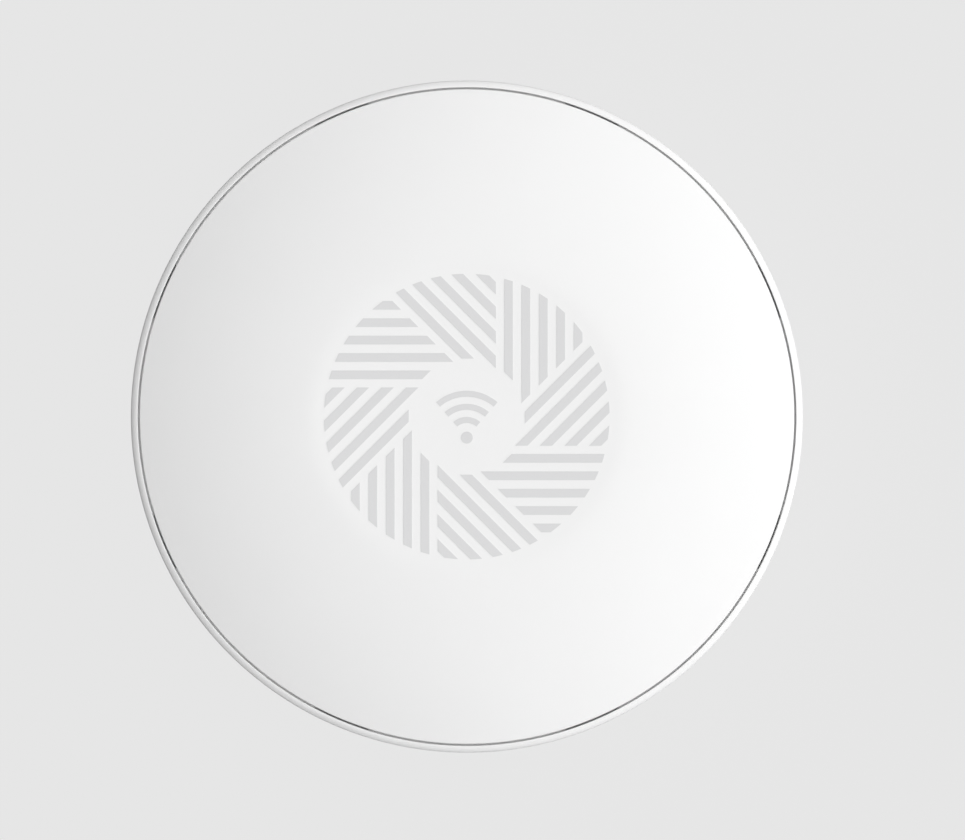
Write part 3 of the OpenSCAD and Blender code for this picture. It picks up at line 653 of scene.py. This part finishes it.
class ACCESSPOINT_OT_antennas(bpy.types.Operator):
    """Finishes the four antennas, their cables and their screws."""

    bl_idname = "access_point.antennas"
    bl_label = "Antennas"

    def execute(self, context):
        tin = plated("antenna_tin", (0.70, 0.70, 0.67), 0.34, (1.0, 5.0, 1.0))
        jacket = moulded("cable_grey", (0.03, 0.03, 0.032), 0.42, 0.5 * MM, 0.004 * MM, 0.06)
        for i in range(1, 5):
            dress(tin, f"antenna_{i}")
            dress(jacket, f"antenna_cable_{i}")
        dress(plated("antenna_screw_zinc", (0.62, 0.63, 0.65), 0.33), "antenna_screws")
        return {"FINISHED"}


class ACCESSPOINT_OT_stage(bpy.types.Operator):
    """Lays the pale floor, lights it softly from the right and sets the camera above the face."""

    bl_idname = "access_point.stage"
    bl_label = "Stage"

    def execute(self, context):
        stage = context.scene.access_point_stage
        context.scene.view_settings.view_transform = "Standard"
        self.make_floor(stage)
        self.make_sky(context.scene, stage)
        self.make_key(context.scene, stage)
        self.make_camera(context.scene, stage)
        return {"FINISHED"}

    @staticmethod
    def make_floor(stage):
        """A wide disc whose own light holds it pale, with a share that takes soft shadows and a
        painted contact shadow near the body.
        """
        bm = bmesh.new()
        bmesh.ops.create_circle(bm, cap_ends=True, segments=FLOOR_STEPS, radius=FLOOR_R)
        mesh = bpy.data.meshes.new("studio_floor")
        bm.to_mesh(mesh)
        bm.free()
        floor = bpy.data.objects.new("studio_floor", mesh)
        bpy.context.scene.collection.objects.link(floor)
        made = Finish("floor_with_painted_shadow", [stage.floor_diffuse] * 3, 0.9)
        made.shader.inputs["Specular IOR Level"].default_value = 0.0
        # A level face sees the sky at two thirds of its height on average.
        even = stage.sky_low + (stage.sky_high - stage.sky_low) * 2 / 3
        seen = made.node("ShaderNodeMapRange",
                         Value=made.node("ShaderNodeLightPath").outputs["Is Camera Ray"],
                         To_Min=stage.floor_bounce,
                         To_Max=1.0 - stage.floor_diffuse * even / stage.floor[0])
        made.tree.links.new(seen.outputs["Result"], made.shader.inputs["Emission Strength"])
        # Painted contact shadow: ambient occlusion darkens the floor's emitted colour towards the
        # contact colour near a body, whatever the lights do.
        near = made.node("ShaderNodeAmbientOcclusion", Distance=stage.painted_shadow_reach)
        painted_contact_shadow = made.spread(near.outputs["AO"], 0.0, 1.0)
        made.tree.links.new(made.mixed(painted_contact_shadow, stage.painted_contact_shadow, stage.floor),
                            made.shader.inputs["Emission Color"])
        made.tint(made.noise(0.4, 2.0), 0.01)
        coat(floor, made)
        floor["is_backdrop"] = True

    @staticmethod
    def make_sky(scene, stage):
        """Light from all round, strongest from above, seen by the camera in the floor's colour."""
        world = bpy.data.worlds.new("studio_sky")
        world.use_nodes = True
        tree = world.node_tree
        even = tree.nodes["Background"]
        even.inputs["Color"].default_value = (1.0, 1.0, 1.0, 1.0)
        place = tree.nodes.new("ShaderNodeTexCoord")
        split = tree.nodes.new("ShaderNodeSeparateXYZ")
        height = tree.nodes.new("ShaderNodeMapRange")
        height.inputs["To Min"].default_value = stage.sky_low
        height.inputs["To Max"].default_value = stage.sky_high
        tree.links.new(place.outputs["Generated"], split.inputs[0])
        tree.links.new(split.outputs["Z"], height.inputs["Value"])
        tree.links.new(height.outputs["Result"], even.inputs["Strength"])
        seen = tree.nodes.new("ShaderNodeBackground")
        seen.inputs["Color"].default_value = (*stage.floor, 1.0)
        path = tree.nodes.new("ShaderNodeLightPath")
        mix = tree.nodes.new("ShaderNodeMixShader")
        tree.links.new(path.outputs["Is Camera Ray"], mix.inputs[0])
        tree.links.new(even.outputs[0], mix.inputs[1])
        tree.links.new(seen.outputs[0], mix.inputs[2])
        tree.links.new(mix.outputs[0], tree.nodes["World Output"].inputs["Surface"])
        scene.world = world

    @staticmethod
    def make_key(scene, stage):
        """A broad, far light from the right that leaves the floor out."""
        data = bpy.data.lights.new("key", "SUN")
        data.energy = stage.key
        data.angle = stage.key_soft
        key = bpy.data.objects.new("key", data)
        scene.collection.objects.link(key)
        towards = Vector((math.cos(stage.key_height) * math.cos(stage.key_turn),
                          math.cos(stage.key_height) * math.sin(stage.key_turn),
                          math.sin(stage.key_height)))
        key.rotation_euler = towards.to_track_quat("Z", "Y").to_euler()
        lit = bpy.data.collections.new("lit_by_key")
        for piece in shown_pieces():
            lit.objects.link(piece)
        key.light_linking.receiver_collection = lit

    @staticmethod
    def make_camera(scene, stage):
        """A long lens straight above the face."""
        data = bpy.data.cameras.new("camera")
        data.lens = stage.lens
        away = stage.view_w * stage.lens / data.sensor_width
        data.clip_end = CAMERA_REACH
        camera = bpy.data.objects.new("camera", data)
        camera.location = (stage.view_x, -stage.view_y, HOUSING_HIGH.z + away)
        scene.collection.objects.link(camera)
        scene.camera = camera


OPERATORS = (
    ACCESSPOINT_OT_cover,
    ACCESSPOINT_OT_housing,
    ACCESSPOINT_OT_print,
    ACCESSPOINT_OT_bracket,
    ACCESSPOINT_OT_electronics,
    ACCESSPOINT_OT_antennas,
    ACCESSPOINT_OT_stage,
)


class ACCESSPOINT_PT_sidebar(bpy.types.Panel):
    """Lists the operators and the settings."""

    bl_label = "Ceiling access point"
    bl_idname = "ACCESSPOINT_PT_sidebar"
    bl_space_type = "VIEW_3D"
    bl_region_type = "UI"
    bl_category = "Access point"

    def draw(self, context):
        for operator in OPERATORS:
            self.layout.operator(operator.bl_idname)
        for title, settings in (("Cover", context.scene.access_point_cover),
                                ("Rim", context.scene.access_point_rim),
                                ("Finishes", context.scene.access_point_finish),
                                ("Stage", context.scene.access_point_stage)):
            box = self.layout.box()
            box.label(text=title)
            for name in settings.__annotations__:
                box.prop(settings, name)


CLASSES = (
    CoverSettings,
    RimSettings,
    FinishSettings,
    StageSettings,
    *OPERATORS,
    ACCESSPOINT_PT_sidebar,
)


def register():
    """Registers the classes and hangs the settings on the scene."""
    for made in CLASSES:
        bpy.utils.register_class(made)
    bpy.types.Scene.access_point_cover = PointerProperty(type=CoverSettings)
    bpy.types.Scene.access_point_rim = PointerProperty(type=RimSettings)
    bpy.types.Scene.access_point_finish = PointerProperty(type=FinishSettings)
    bpy.types.Scene.access_point_stage = PointerProperty(type=StageSettings)


def unregister():
    """Takes the settings and the classes away again."""
    del bpy.types.Scene.access_point_stage
    del bpy.types.Scene.access_point_finish
    del bpy.types.Scene.access_point_rim
    del bpy.types.Scene.access_point_cover
    for made in reversed(CLASSES):
        bpy.utils.unregister_class(made)


def main():
    """Builds every piece in order."""
    register()
    bpy.ops.access_point.cover()
    bpy.ops.access_point.housing()
    bpy.ops.access_point.print()
    bpy.ops.access_point.bracket()
    bpy.ops.access_point.electronics()
    bpy.ops.access_point.antennas()
    bpy.ops.access_point.stage()


if __name__ == "__main__":
    main()
